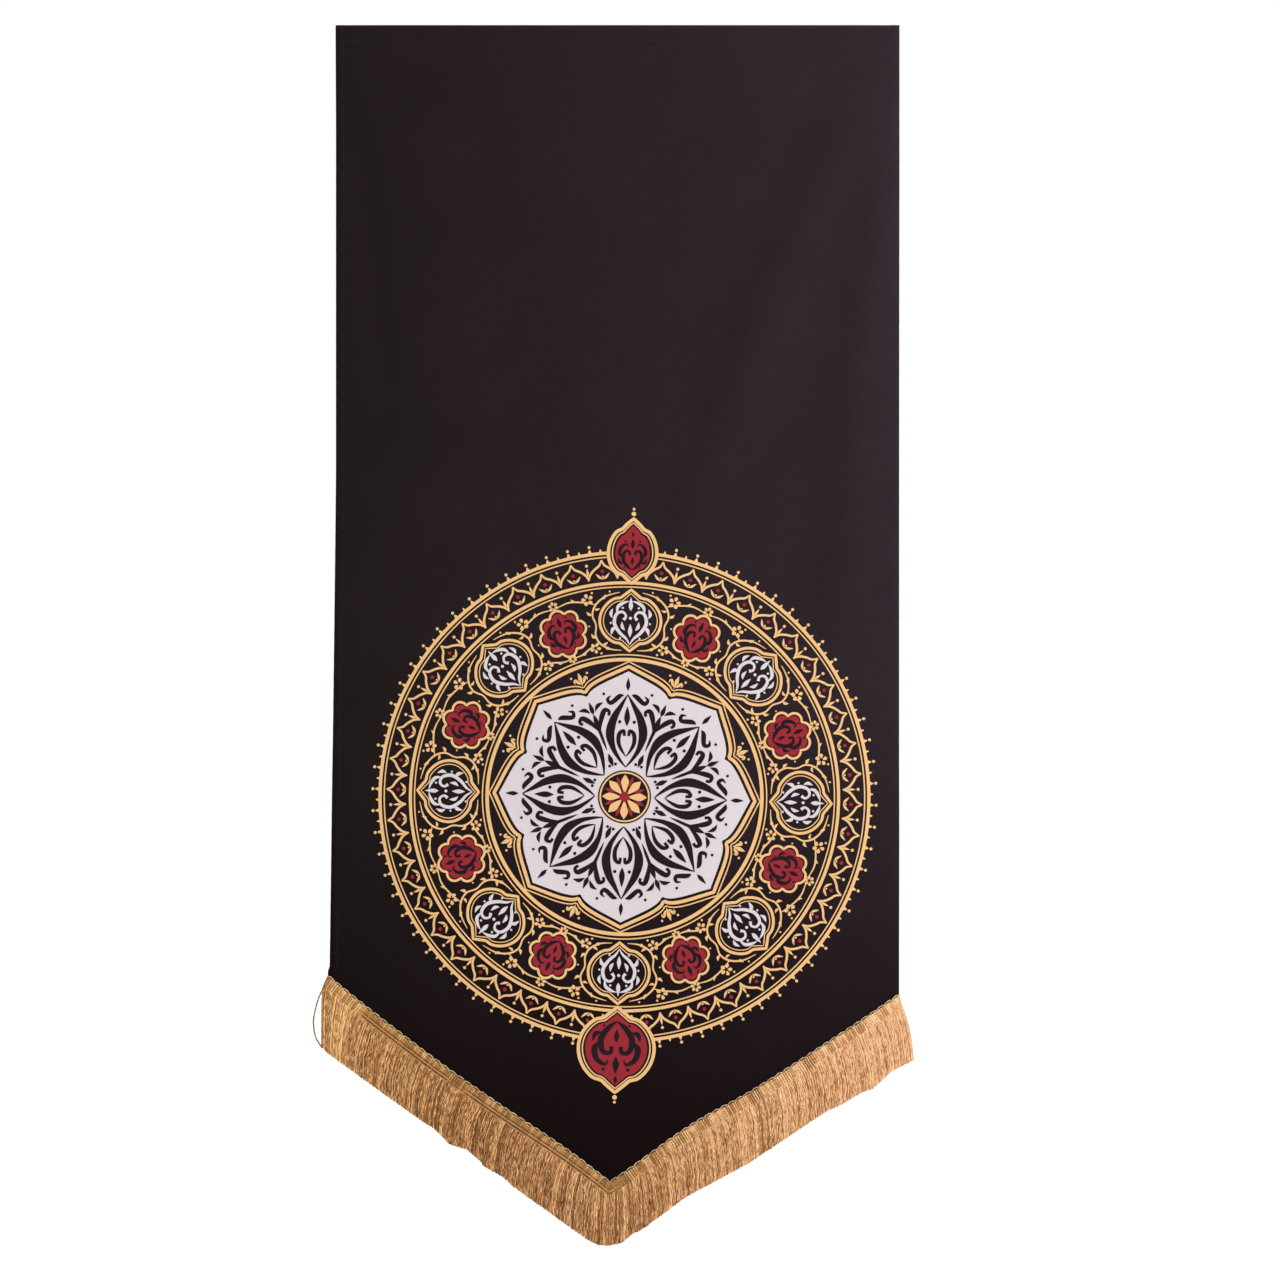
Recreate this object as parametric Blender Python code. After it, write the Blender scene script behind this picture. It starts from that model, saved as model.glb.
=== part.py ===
# Wall flag: a black cloth panel that hangs from its top edge, cut to a point at its foot, with a
# gold fringe trim sewn on the front of the pointed edge.
# Origin: the middle of the top edge. +X runs to the viewer's right, +Z is up, the front faces -Y.

import math
import random

import bmesh
import bpy
from mathutils import Vector

# Cloth panel, in metres. Plane points are (x, z), seen from the front.
TOP_WIDTH = 0.700
CLOTH_THICKNESS = 0.0015
SIDE_FLARE = 0.008          # how far the left edge swings out by its foot
SIDE_FLARE_STARTS = -0.55   # height at which it begins to
SIDE_FLARE_CURVE = 1.15     # 1 would be a straight slant
CORNER_FLARE = 0.0022       # and further out in the last bit above the trim
CORNER_LENGTH = 0.008
FOOT_LEFT = Vector((-TOP_WIDTH / 2 - SIDE_FLARE - CORNER_FLARE, -1.1762))
FOOT_TIP = Vector((-0.0095, -1.4316))
FOOT_RIGHT = Vector((TOP_WIDTH / 2, -1.2076))
TRIM_LAP = 0.012            # cloth that runs on down behind the trim's upper edge
TIP_ACROSS = (FOOT_TIP.x - FOOT_LEFT.x) / (FOOT_RIGHT.x - FOOT_LEFT.x)
COLUMNS_A_SIDE = 18         # grid columns on each side of the tip
CLOTH_ROWS = 38

# The pointed edge isn't quite straight: how far it lies below the straight line, by its share
# along the trim, which runs from 0 at the left end, past 1 at the tip, to 2 at the right end.
SAG_COLUMNS = ("share", "drop")
SAG_ROWS = (
    (0.00, 0.0032),
    (0.10, 0.0062),
    (0.20, 0.0080),
    (0.40, 0.0100),
    (0.60, 0.0078),
    (0.80, 0.0030),
    (0.90, 0.0018),
    (1.00, 0.0047),
    (1.10, 0.0015),
    (1.20, -0.0025),
    (1.30, -0.0049),
    (1.40, -0.0018),
    (1.46, 0.0006),
    (1.60, 0.0006),
    (1.80, -0.0014),
    (1.90, -0.0026),
    (2.00, -0.0048),
)
SAG_REACH = 0.05            # share along the trim over which the table's corners are rounded off

# Soft folds that run down from the two top corners: three points (x, z) along each crest, then the
# fold's half width and how far it stands towards the viewer. Below zero it is a hollow.
FOLD_COLUMNS = ("top", "middle", "foot", "half_width", "height")
FOLD_ROWS = (
    ((0.338, -0.01), (0.180, -0.37), (0.042, -0.74), 0.041, 0.0090),
    ((0.346, -0.04), (0.301, -0.44), (0.272, -0.84), 0.036, 0.0068),
    ((-0.336, -0.03), (-0.312, -0.25), (-0.284, -0.53), 0.020, -0.0034),
    ((-0.060, -0.09), (-0.030, -0.45), (0.010, -0.86), 0.095, 0.0060),
    ((-0.352, -0.86), (-0.200, -1.10), (-0.060, -1.28), 0.070, 0.0050),
    ((0.350, -0.90), (0.230, -1.12), (0.090, -1.30), 0.070, 0.0050),
)
FOLD_FADE = 0.16            # length over which a fold rises or dies away at its ends
EDGE_CURL = 0.0045          # the side edges turn back towards the wall
EDGE_CURL_WIDTH = 0.030

# Trim: a woven heading with a scalloped upper edge, a cord along it, and a skirt of hanging locks.
GAP = 0.0003                # clearance between the heading and the cloth
HEADING_WIDTH = 0.0175
END_CUT_LEFT = 0.0040       # how far each end's lower corner is cut back along the trim
END_CUT_RIGHT = 0.0060
HEADING_THICKNESS = 0.0018
CORD_HEIGHT = 0.0010
CORD_SHARE = 0.70           # where the cord lies, as a share of the heading's width
SCALLOP_PITCH = 0.0116
SCALLOP_HEIGHT = 0.0014
LOCKS_A_LIMB = 100
STATIONS = 4 * LOCKS_A_LIMB + 2  # two for each lock's root and one for each end of the trim
LOCK_SHARE = 0.66           # share of each pitch that the lock's root takes
LOCK_WIDTH = 0.0023
LOCK_DEPTH = 0.0018
LOCK_END_SHARE = 0.75       # a lock's size at its end, as a share of that
LOCK_STEPS = 3
LENGTH_SPREAD = 0.0014      # uneven ends
STRAY_ACROSS = 0.0003       # how far a lock's end may stray sideways, and towards the wall
STRAY_DEEP = 0.0010
SWAY = 0.0016               # gentle wave that neighbouring locks share
SWAY_DEEP = 0.0010
SWAY_PER_METRE = 95.0       # radians of that wave along the trim, and down a lock's length
SWAY_DOWN = 2.4

# The skirt's cut edge: the height at which the locks end, by the x of their ends.
CUT_COLUMNS = ("x", "z")
CUT_ROWS = (
    (-0.3690, -1.2672),
    (-0.3600, -1.2764),
    (-0.2420, -1.3607),
    (-0.2260, -1.3705),
    (-0.2085, -1.3890),
    (-0.1875, -1.3952),
    (-0.1715, -1.4085),
    (-0.1665, -1.4160),
    (-0.1425, -1.4292),
    (-0.1290, -1.4417),
    (-0.0397, -1.5059),
    (-0.0248, -1.5139),
    (-0.0112, -1.5149),
    (0.0074, -1.5106),
    (0.0186, -1.5001),
    (0.0285, -1.4962),
    (0.0856, -1.4538),
    (0.1650, -1.4115),
    (0.1775, -1.4024),
    (0.2618, -1.3466),
    (0.2718, -1.3431),
    (0.3040, -1.3241),
    (0.3164, -1.3208),
    (0.3400, -1.2990),
    (0.3660, -1.2862),
)

# By the x of a lock's root: how far its end leans to +X, and how soon, as a share of its length.
# A lock leaves the heading near square to it and then bends until it hangs.
LEAN_COLUMNS = ("x", "lean", "turn")
LEAN_ROWS = (
    (-0.367, -0.0005, 0.15),
    (-0.345, -0.0068, 0.45),
    (-0.315, -0.0130, 0.45),
    (-0.060, -0.0130, 0.50),
    (-0.012, -0.0020, 0.40),
    (0.040, 0.0067, 0.32),
    (0.220, 0.0067, 0.32),
    (0.290, 0.0127, 0.55),
    (0.354, 0.0127, 0.55),
)
LOOSE_THREAD_BOW = -0.0115  # the first lock at the left is a loose thread that bows out
LOOSE_THREAD_SIZE = 0.0012
LOOSE_THREAD_CURVE = 1.2    # above 1 the bow is widest below the thread's middle
SEED = 7


def linear(low, high, share):
    return low + (high - low) * share


def smooth_share(value):
    share = min(max(value, 0.0), 1.0)
    return share * share * (3.0 - 2.0 * share)


def table(columns, rows):
    """Each row as a dictionary by its column names."""
    return [dict(zip(columns, row, strict=True)) for row in rows]


FOLDS = table(FOLD_COLUMNS, FOLD_ROWS)
SAG = table(SAG_COLUMNS, SAG_ROWS)
CUT = table(CUT_COLUMNS, CUT_ROWS)
LEAN = table(LEAN_COLUMNS, LEAN_ROWS)


def table_value(rows, key, name, place):
    """A column's value where the key column reaches a place, on straight lines between the rows."""
    inside = min(max(place, rows[0][key]), rows[-1][key])
    for low, high in zip(rows, rows[1:]):
        if inside <= high[key]:
            share = (inside - low[key]) / (high[key] - low[key])
            return linear(low[name], high[name], share)


def sag_at(share):
    """How far the pointed edge lies below its straight line, with the table's corners rounded off."""
    before, here, after = (
        table_value(SAG, "share", "drop", share + SAG_REACH * side) for side in (-1.0, 0.0, 1.0)
    )
    return (before + 2.0 * here + after) / 4.0


def left_edge(z):
    run = (SIDE_FLARE_STARTS - z) / (SIDE_FLARE_STARTS - FOOT_LEFT.y)
    flare = SIDE_FLARE * min(max(run, 0.0), 1.0) ** SIDE_FLARE_CURVE
    corner = CORNER_FLARE * smooth_share((FOOT_LEFT.y - z) / CORNER_LENGTH + 1.0)
    return -TOP_WIDTH / 2 - flare - corner


def crest_x(fold, z):
    """The crest's x at a height, on the parabola through the fold's three points."""
    (x0, z0), (x1, z1), (x2, z2) = fold["top"], fold["middle"], fold["foot"]
    first = (z - z1) * (z - z2) / ((z0 - z1) * (z0 - z2))
    second = (z - z0) * (z - z2) / ((z1 - z0) * (z1 - z2))
    third = (z - z0) * (z - z1) / ((z2 - z0) * (z2 - z1))
    return x0 * first + x1 * second + x2 * third


def drape(x, z):
    """How far the cloth's front lies behind the plane y = 0. A fold comes forward, to -Y."""
    depth = 0.0
    for fold in FOLDS:
        top, foot = fold["top"][1], fold["foot"][1]
        rise = smooth_share((top - z) / FOLD_FADE)
        fall = smooth_share((z - foot) / FOLD_FADE)
        away = (x - crest_x(fold, min(max(z, foot), top))) / fold["half_width"]
        depth -= fold["height"] * rise * fall * math.exp(-away * away)
    from_side = min(x - left_edge(z), TOP_WIDTH / 2 - x)
    curl = math.exp(-max(from_side, 0.0) / EDGE_CURL_WIDTH) * smooth_share(-z / FOLD_FADE)
    return depth + EDGE_CURL * curl


def new_object(name, bm, material):
    """Turn the mesh's faces outwards and put it in the scene."""
    bmesh.ops.recalc_face_normals(bm, faces=bm.faces)
    mesh = bpy.data.meshes.new(name)
    bm.to_mesh(mesh)
    bm.free()
    mesh.shade_smooth()
    mesh.set_sharp_from_angle(angle=math.radians(40))
    mesh.materials.append(material)
    item = bpy.data.objects.new(name, mesh)
    bpy.context.scene.collection.objects.link(item)
    return item


def new_material(name, color, roughness):
    material = bpy.data.materials.new(name)
    material.use_nodes = True
    shader = material.node_tree.nodes["Principled BSDF"]
    shader.inputs["Base Color"].default_value = (*color, 1.0)
    shader.inputs["Roughness"].default_value = roughness
    shader.inputs["Metallic"].default_value = 0.0
    return material


def cloth_point(across, down):
    """A point of the panel's front, from shares across (0 left, 1 right) and down its height."""
    if across < TIP_ACROSS:
        share = across / TIP_ACROSS
        foot = linear(FOOT_LEFT.y, FOOT_TIP.y, share)
    else:
        share = 1.0 + (across - TIP_ACROSS) / (1.0 - TIP_ACROSS)
        foot = linear(FOOT_TIP.y, FOOT_RIGHT.y, share - 1.0)
    z = (foot - sag_at(share) - TRIM_LAP) * down
    x = linear(left_edge(z), TOP_WIDTH / 2, across)
    return Vector((x, drape(x, z), z))


def build_cloth():
    """A grid laid on the drape, with a column on the tip, then thickened towards the wall."""
    bm = bmesh.new()
    bmesh.ops.create_grid(bm, x_segments=2 * COLUMNS_A_SIDE, y_segments=CLOTH_ROWS, size=1.0)
    for vert in bm.verts:
        side = vert.co.x
        across = linear(TIP_ACROSS, 1.0, side) if side > 0.0 else TIP_ACROSS * (1.0 + side)
        vert.co = cloth_point(across, (1.0 - vert.co.y) / 2)
    bmesh.ops.recalc_face_normals(bm, faces=bm.faces)
    if sum((face.normal for face in bm.faces), Vector()).y > 0.0:
        bmesh.ops.reverse_faces(bm, faces=bm.faces)
    bmesh.ops.solidify(bm, geom=bm.faces[:], thickness=CLOTH_THICKNESS)
    return new_object("cloth_panel", bm, new_material("black_cloth", (0.020, 0.015, 0.018), 0.9))


def trim_edges():
    """The heading's upper and lower edges as three points each, mitred where it turns at the tip.

    The two ends are cut a little slanted, so that the lower edge is shorter than the upper one.
    """
    run_left = (FOOT_TIP - FOOT_LEFT).normalized()
    run_right = (FOOT_RIGHT - FOOT_TIP).normalized()
    out_left = Vector((run_left.y, -run_left.x))
    out_right = Vector((run_right.y, -run_right.x))
    mitre = (out_left + out_right) / (1.0 + out_left.dot(out_right))
    upper = (FOOT_LEFT, FOOT_TIP, FOOT_RIGHT)
    outward = (out_left, mitre, out_right)
    lower = [point + way * HEADING_WIDTH for point, way in zip(upper, outward, strict=True)]
    lower[0] += run_left * END_CUT_LEFT
    lower[2] -= run_right * END_CUT_RIGHT
    return upper, lower


UPPER_EDGE, LOWER_EDGE = trim_edges()
LIMB_LENGTH = (FOOT_TIP - FOOT_LEFT).length


def station_share(station):
    """Where a station lies along the trim, from 0 at its left end, past 1 at the tip, to 2."""
    if station == 0:
        return 0.0
    if station == STATIONS - 1:
        return 2.0
    lock, side = divmod(station - 1, 2)
    margin = (1.0 - LOCK_SHARE) / 2
    return (lock + (margin if side == 0 else 1.0 - margin)) / LOCKS_A_LIMB


def along(edge, share):
    """A plane point of the heading's upper or lower edge, with the sag that both share."""
    limb = 0 if share < 1.0 else 1
    return edge[limb].lerp(edge[limb + 1], share - limb) - Vector((0.0, sag_at(share)))


def heading_point(station, level, back):
    """A point of the heading. level runs from its scalloped edge (0), past the cord (1), to 2."""
    share = station_share(station)
    upper = along(UPPER_EDGE, share)
    lower = along(LOWER_EDGE, share)
    height = (0.0, CORD_SHARE, 1.0)[level]
    point = upper.lerp(lower, height)
    if level == 0:
        scallop = abs(math.sin(math.pi * share * LIMB_LENGTH / SCALLOP_PITCH))
        point += (upper - lower).normalized() * SCALLOP_HEIGHT * scallop
    depth = drape(point.x, point.y) - GAP
    if not back:
        depth -= HEADING_THICKNESS + (CORD_HEIGHT if level == 1 else 0.0)
    return Vector((point.x, depth, point.y))


def lock_frame(lock, rng):
    """A lock's root, its own length, and the offsets that make it uneven."""
    root = along(LOWER_EDGE, (lock + 0.5) / LOCKS_A_LIMB)
    lean = table_value(LEAN, "x", "lean", root.x)
    cut = table_value(CUT, "x", "z", root.x + lean)
    return {
        "root": Vector((root.x, drape(root.x, root.y) - GAP - HEADING_THICKNESS / 2, root.y)),
        "length": root.y - cut - rng.random() * LENGTH_SPREAD,
        "lean": lean,
        "turn": table_value(LEAN, "x", "turn", root.x),
        "stray_across": rng.uniform(-STRAY_ACROSS, STRAY_ACROSS),
        "stray_deep": rng.uniform(-STRAY_DEEP, STRAY_DEEP),
        "loose": lock == 0,
    }


def lock_point(frame, step, corner):
    """A corner of the lock's outline at a step down its length. corner is (-1 or 1, -1 or 1)."""
    down = step / LOCK_STEPS
    root = frame["root"]
    size = linear(1.0, LOCK_END_SHARE, down)
    wide, deep = LOCK_WIDTH * size, LOCK_DEPTH * size
    wave = math.sin(root.x * SWAY_PER_METRE + SWAY_DOWN * down)
    leant = (1.0 - math.exp(-down / frame["turn"])) / (1.0 - math.exp(-1.0 / frame["turn"]))
    x = root.x + (SWAY * wave + frame["stray_across"]) * down + frame["lean"] * leant
    y = root.y + (SWAY_DEEP * wave + frame["stray_deep"]) * down
    if frame["loose"]:
        wide = deep = LOOSE_THREAD_SIZE
        x += LOOSE_THREAD_BOW * math.sin(math.pi * down ** LOOSE_THREAD_CURVE)
    z = root.z - frame["length"] * down
    return Vector((x + corner[0] * wide / 2, y + corner[1] * deep / 2, z))


def build_fringe():
    """The trim, made as a straight strip in unit steps, then laid along the pointed edge.

    In the straight strip x counts stations, y counts levels down and z is 0 behind or 1 in front.
    """
    rng = random.Random(SEED)
    bm = bmesh.new()
    bmesh.ops.create_grid(bm, x_segments=STATIONS - 1, y_segments=2, size=1.0)
    for vert in bm.verts:
        vert.co.x = round((vert.co.x + 1.0) / 2 * (STATIONS - 1))
        vert.co.y = round(1.0 - vert.co.y)
        vert.co.z = 0.0
    front = bmesh.ops.extrude_face_region(bm, geom=bm.faces[:])["geom"]
    for vert in (item for item in front if isinstance(item, bmesh.types.BMVert)):
        vert.co.z = 1.0
    lower_faces = sorted(
        (face for face in bm.faces if all(vert.co.y == 2.0 for vert in face.verts)),
        key=lambda face: face.calc_center_median().x,
    )
    places = {}
    for lock, face in enumerate(lower_faces[1::2]):
        frame = lock_frame(lock, rng)
        middle = face.calc_center_median()
        for step in range(1, LOCK_STEPS + 1):
            face = bmesh.ops.extrude_discrete_faces(bm, faces=[face])["faces"][0]
            for vert in face.verts:
                corner = (1 if vert.co.x > middle.x else -1, -1 if vert.co.z > 0.5 else 1)
                places[vert] = lock_point(frame, step, corner)
    for vert in bm.verts:
        if vert in places:
            vert.co = places[vert]
        else:
            vert.co = heading_point(int(vert.co.x), int(vert.co.y), vert.co.z < 0.5)
    return new_object("fringe_trim", bm, new_material("gold_rayon", (0.46, 0.24, 0.10), 0.55))


def main():
    for item in list(bpy.data.objects):
        bpy.data.objects.remove(item)
    build_cloth()
    build_fringe()


main()
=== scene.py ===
# Wall flag: printed black polyester with a pointed foot and a gold rayon fringe.
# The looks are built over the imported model's two nodes, in metres, in the same frame.
import random
from math import ceil, cos, exp, pi, radians, sin, sqrt, tau

import bmesh
import bpy
from mathutils import Matrix, Vector


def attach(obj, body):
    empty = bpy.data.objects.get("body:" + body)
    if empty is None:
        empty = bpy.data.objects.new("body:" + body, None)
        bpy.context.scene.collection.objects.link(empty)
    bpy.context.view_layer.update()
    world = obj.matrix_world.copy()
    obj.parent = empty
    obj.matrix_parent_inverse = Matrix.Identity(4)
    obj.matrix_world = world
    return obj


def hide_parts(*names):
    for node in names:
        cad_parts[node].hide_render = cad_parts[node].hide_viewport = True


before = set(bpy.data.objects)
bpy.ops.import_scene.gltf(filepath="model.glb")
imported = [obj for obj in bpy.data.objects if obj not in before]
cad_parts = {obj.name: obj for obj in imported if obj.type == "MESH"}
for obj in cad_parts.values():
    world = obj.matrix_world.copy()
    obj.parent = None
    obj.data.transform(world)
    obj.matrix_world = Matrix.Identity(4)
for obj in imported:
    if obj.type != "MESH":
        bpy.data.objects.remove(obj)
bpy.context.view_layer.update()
print("frame loaded:", sorted(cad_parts))


# Small helpers

def mix(low, high, share):
    return low + (high - low) * share


def smoothShare(value):
    share = min(max(value, 0), 1)
    return share * share * (3 - 2 * share)


def along(rows, at):
    # A table's second column where its first reaches a place, on straight lines between the rows.
    for low, high in zip(rows, rows[1:]):
        if at <= high[0]:
            return mix(low[1], high[1], max((at - low[0]) / (high[0] - low[0]), 0))
    return rows[-1][1]


def toLinear(hexColour):
    parts = [int(hexColour[i:i + 2], 16) / 255 for i in (1, 3, 5)]
    linear = [c / 12.92 if c <= 0.04045 else ((c + 0.055) / 1.055) ** 2.4 for c in parts]
    return (*linear, 1)


def setUp(node, settings):
    # A setting is a constant, a colour in hex, or the socket or node that feeds the input.
    for name, value in settings.items():
        if isinstance(value, bpy.types.Node):
            value = next(socket for socket in value.outputs if socket.enabled)
        if isinstance(value, bpy.types.NodeSocket):
            node.id_data.links.new(value, node.inputs[name])
        elif isinstance(name, int) or name in node.inputs:
            node.inputs[name].default_value = toLinear(value) if isinstance(value, str) else value
        else:
            setattr(node, name, value)
    return node


def addNode(tree, kind, settings):
    return setUp(tree.nodes.new("ShaderNode" + kind), settings)


def newMaterial(name, settings):
    # Its last result is the place on the object, which every pattern here is laid out by.
    material = bpy.data.materials.new(name)
    material.use_nodes = True
    tree = material.node_tree
    shader = setUp(tree.nodes["Principled BSDF"], settings)
    return material, tree, shader, addNode(tree, "TexCoord", {}).outputs["Object"]


def addObject(name, data):
    thing = bpy.data.objects.new(name, data)
    bpy.context.scene.collection.objects.link(thing)
    return thing


def newPiece(name, mesh, material):
    mesh.materials.clear()
    mesh.materials.append(material)
    piece = addObject(name, mesh)
    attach(piece, "root")
    return piece


def meshFromBmesh(name, bm):
    mesh = bpy.data.meshes.new(name)
    bm.to_mesh(mesh)
    bm.free()
    mesh.shade_smooth()
    return mesh


def sheetPiece(name, bm, material, thickness):
    # The modelled sheet is the front, and its wall is built behind it.
    piece = newPiece(name, meshFromBmesh(name, bm), material)
    solid = piece.modifiers.new("thickness", "SOLIDIFY")
    solid.thickness = thickness
    solid.offset = -1
    return piece


def turnToFront(bm):
    bmesh.ops.recalc_face_normals(bm, faces=bm.faces)
    bm.normal_update()
    if sum(face.normal.y for face in bm.faces) > 0:
        bmesh.ops.reverse_faces(bm, faces=bm.faces)


def newCurve(name, dimensions="3D"):
    curve = bpy.data.curves.new(name, "CURVE")
    curve.dimensions = dimensions
    return curve


def addSpline(curve, points, radii=None, closed=False):
    spline = curve.splines.new("POLY")
    spline.points.add(len(points) - 1)
    spline.points.foreach_set("co", [number for point in points for number in (*point, 1)])
    if radii:
        spline.points.foreach_set("radius", radii)
    spline.use_cyclic_u = closed


def meshFromCurve(name, curve):
    holder = addObject(name, curve)
    depsgraph = bpy.context.evaluated_depsgraph_get()
    mesh = bpy.data.meshes.new_from_object(holder.evaluated_get(depsgraph))
    mesh.name = name
    bpy.data.objects.remove(holder)
    bpy.data.curves.remove(curve)
    return mesh


def smoothLine(points, steps):
    # A smooth line through the points, with every number of a point carried along.
    line = []
    for i in range(len(points) - 1):
        near = [min(max(i + k, 0), len(points) - 1) for k in (-1, 0, 1, 2)]
        before, start, end, after = (Vector(points[k]) for k in near)
        for step in range(steps):
            run = step / steps
            bend = 2 * before - 5 * start + 4 * end - after
            turn = 3 * start - before - 3 * end + after
            line.append(0.5 * (2 * start + (end - before) * run + bend * run ** 2 + turn * run ** 3))
    return line + [Vector(points[-1])]


# The panel and its drape. Plane points are (x, z) as seen from the front.

panel = {
    "topWidth": 0.7,
    "sideFlare": 0.008,  # the left edge swings out towards its foot
    "flareStarts": -0.55,
    "flareCurve": 1.15,
    "cornerFlare": 0.0022,  # and further out in the last bit above the trim
    "cornerLength": 0.008,
    "foot": [Vector((-0.3602, -1.1762)), Vector((-0.0095, -1.4316)), Vector((0.35, -1.2076))],
    "trimLap": 0.012,  # cloth that runs on behind the trim
    "thickness": 0.0004,
    "sideHem": 0.011,  # cloth turned to the back and stitched down
    "topHem": 0.022,
    "hemSteps": 3,
    "hemBend": 0.0003,  # a fold's bend starts this far in from its edge
    "hemLayers": 2.1,  # how many thicknesses back a hem lies, and the top one further over a side one
    "crossLayers": 2.2,
    "hemTuck": 0.0004,  # how far a side hem's end lies below the top fold
    "cornerEase": 0.04,
    "columnsASide": 52,
    "rows": 205,
    "pucker": 0.00045,  # small waves that the hem's seam draws in
    "puckerLength": 0.021,
    "puckerWidth": 0.016,
    "puckerDrift": 9,  # how far the waves wander, in radians, and how fast down the side
    "driftPace": 11,
}
footLeft, footTip, footRight = panel["foot"]
tipAcross = (footTip.x - footLeft.x) / (footRight.x - footLeft.x)
halfTop = panel["topWidth"] / 2

# Crest points top, middle and foot, then half width and height towards the viewer, below zero for a hollow.
folds = [
    ((0.338, -0.01), (0.18, -0.37), (0.042, -0.74), 0.041, 0.009),
    ((0.346, -0.04), (0.301, -0.44), (0.272, -0.84), 0.036, 0.0068),
    ((-0.336, -0.03), (-0.312, -0.25), (-0.284, -0.53), 0.02, -0.0034),
    ((-0.06, -0.09), (-0.03, -0.45), (0.01, -0.86), 0.095, 0.006),
    ((-0.352, -0.86), (-0.2, -1.1), (-0.06, -1.28), 0.07, 0.005),
    ((0.35, -0.9), (0.23, -1.12), (0.09, -1.3), 0.07, 0.005),
]
foldFade = 0.16
edgeCurl = {"height": 0.0045, "width": 0.03}

# How far the pointed edge lies below its straight line, by its share: 0 left, 1 at the tip, 2 right.
edgeSag = [
    (0, 0.0032), (0.1, 0.0062), (0.2, 0.008), (0.4, 0.01), (0.6, 0.0078), (0.8, 0.003), (0.9, 0.0018),
    (1, 0.0047), (1.1, 0.0015), (1.2, -0.0025), (1.3, -0.0049), (1.4, -0.0018), (1.46, 0.0006),
    (1.6, 0.0006), (1.8, -0.0014), (1.9, -0.0026), (2, -0.0048),
]
sagReach = 0.05


def sagAt(share):
    before, here, after = (along(edgeSag, share + sagReach * side) for side in (-1, 0, 1))
    return (before + 2 * here + after) / 4


def leftEdge(z):
    run = (panel["flareStarts"] - z) / (panel["flareStarts"] - footLeft.y)
    flare = panel["sideFlare"] * min(max(run, 0), 1) ** panel["flareCurve"]
    corner = panel["cornerFlare"] * smoothShare((footLeft.y - z) / panel["cornerLength"] + 1)
    return -halfTop - flare - corner


def crestX(fold, z):
    # A parabola through the fold's three crest points.
    (x0, z0), (x1, z1), (x2, z2) = fold[:3]
    first = (z - z1) * (z - z2) / ((z0 - z1) * (z0 - z2))
    second = (z - z0) * (z - z2) / ((z1 - z0) * (z1 - z2))
    third = (z - z0) * (z - z1) / ((z2 - z0) * (z2 - z1))
    return x0 * first + x1 * second + x2 * third


def drape(x, z):
    depth = 0
    for fold in folds:
        top, foot, halfWidth, height = fold[0][1], fold[2][1], fold[3], fold[4]
        rise = smoothShare((top - z) / foldFade)
        fall = smoothShare((z - foot) / foldFade)
        away = (x - crestX(fold, min(max(z, foot), top))) / halfWidth
        depth -= height * rise * fall * exp(-away * away)
    fromSide = max(min(x - leftEdge(z), halfTop - x), 0)
    belowTop = smoothShare(-z / foldFade)
    curl = exp(-fromSide / edgeCurl["width"]) * belowTop
    pucker = exp(-(fromSide / panel["puckerWidth"]) ** 2) * belowTop * panel["pucker"]
    drift = panel["puckerDrift"] * sin(panel["driftPace"] * z)
    return depth + edgeCurl["height"] * curl + pucker * sin(tau * z / panel["puckerLength"] + drift)


def panelPoint(across, down):
    if across < tipAcross:
        share = across / tipAcross
        foot = mix(footLeft.y, footTip.y, share)
    else:
        share = 1 + (across - tipAcross) / (1 - tipAcross)
        foot = mix(footTip.y, footRight.y, share - 1)
    z = (foot - sagAt(share) - panel["trimLap"]) * down
    return mix(leftEdge(z), halfTop, across), z


# Materials of the cloth and its print

weave = {
    "threadMm": 0.9,  # drawn at about three times the real 0.3 mm so that it still shows
    "slubMm": 26,
    "bump": 0.35,
    "depth": 0.00012,
}


def waveScale(periodMm):
    # At a scale of 1, a wave texture turns by 20 radians a metre.
    return tau / 20 / (periodMm / 1000)


def addWeave(tree, shader, place, tone, toneSpread):
    # Over-and-under threads from two crossed waves, with slow slubs in the weft and the colour.
    signed = []
    for way in ("X", "Z"):
        thread = addNode(tree, "TexWave", {
            "wave_type": "BANDS", "bands_direction": way, "wave_profile": "SIN", "Vector": place,
            "Scale": waveScale(2 * weave["threadMm"]), "Distortion": 0.6, "Detail": 1, "Detail Scale": 4,
        }).outputs["Fac"]
        signed.append(addNode(tree, "MapRange", {"Value": thread, "To Min": -1, "To Max": 1}))
    crossing = addNode(tree, "Math", {"operation": "MULTIPLY", 0: signed[0], 1: signed[1]})
    stretch = addNode(tree, "Mapping", {"Vector": place, "Scale": (1, 1, 14)})
    slub = addNode(tree, "TexNoise", {
        "Vector": stretch, "Scale": 1000 / weave["slubMm"], "Detail": 5, "Roughness": 0.62,
    })
    cloud = addNode(tree, "TexNoise", {"Vector": place, "Scale": 9, "Detail": 3})
    height = addNode(tree, "Math", {"operation": "MULTIPLY_ADD", 0: crossing, 1: 0.5, 2: slub})
    bump = addNode(tree, "Bump", {"Strength": weave["bump"], "Distance": weave["depth"], "Height": height})
    both = addNode(tree, "Mix", {0: 0.4, 2: slub, 3: cloud})
    spread = addNode(tree, "MapRange", {"Value": both, "From Min": 0.22, "From Max": 0.78})
    dark, light = (
        (*(min(c * (1 + change), 1) for c in toLinear(tone)[:3]), 1) for change in (-toneSpread, toneSpread)
    )
    colour = addNode(tree, "Mix", {"data_type": "RGBA", 0: spread, 6: dark, 7: light})
    rough = addNode(tree, "MapRange", {"Value": slub, "To Min": 0.66, "To Max": 0.8})
    setUp(shader, {"Base Color": colour, "Roughness": rough, "Normal": bump})
    return colour


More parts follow.
